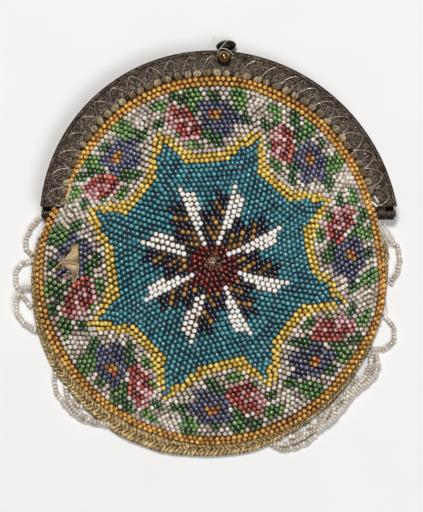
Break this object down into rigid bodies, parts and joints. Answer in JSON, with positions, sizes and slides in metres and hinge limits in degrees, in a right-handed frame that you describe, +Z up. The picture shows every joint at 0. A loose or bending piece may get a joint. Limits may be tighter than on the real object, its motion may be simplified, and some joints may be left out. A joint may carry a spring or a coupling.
{
  "type": "beaded purse",
  "caption": "Round bead-knitted purse on a half-moon metal frame that opens on two side hinges, with knob clasp, lining, gold edge braid and bead fringe.",
  "frame": {"origin": "on the surface that the closed purse lies on, under the middle of the beaded star", "axes": "+Z up out of the front of the purse, +Y from the bag to the clasp, +X to the right hinge"},
  "size_m": [0.1268, 0.1346, 0.0145],
  "materials": {
    "frame_metal": "stamped, darkened with age, ridges rubbed brighter",
    "pin_metal": "dark, dull",
    "ball_brass": "polished by handling",
    "button_metal": "nearly black, smooth",
    "bead_fabric": "knitted glass beads in many colours",
    "lining_silk": "worn plain silk",
    "gold_braid": "twisted metal thread",
    "clear_beads": "small clear glass beads on a string"
  },
  "bodies": {
    "back": {"back_frame": "frame_metal", "hinge_pin_right": "pin_metal", "hinge_pin_left": "pin_metal", "rear_clasp_knob": "button_metal", "back_panel": "bead_fabric", "front_panel_lower": "bead_fabric", "front_panel_fold": "bead_fabric", "back_lining": "lining_silk", "front_lining_lower": "lining_silk", "front_lining_fold": "lining_silk", "edge_braid": "gold_braid", "fringe_loop_left_1": "clear_beads", "fringe_loop_left_2": "clear_beads", "fringe_loop_left_3": "clear_beads", "fringe_loop_low_left_1": "clear_beads", "fringe_loop_low_left_2": "clear_beads", "fringe_loop_low_right_1": "clear_beads", "fringe_loop_low_right_2": "clear_beads", "fringe_loop_low_right_3": "clear_beads", "fringe_loop_low_right_4": "clear_beads", "fringe_loop_right_1": "clear_beads", "fringe_loop_right_2": "clear_beads"},
    "front": {"front_frame": "frame_metal", "front_clasp_knob": "ball_brass", "front_panel_upper": "bead_fabric", "front_lining_upper": "lining_silk"}
  },
  "joints": [
    {"name": "frame_hinge", "type": "hinge", "parent": "back", "child": "front", "pos_m": [0.0025, 0.0154, 0.00475], "axis": [1, 0, 0], "range_deg": [0, 90], "deforming": ["front_panel_fold", "front_lining_fold"]}
  ]
}
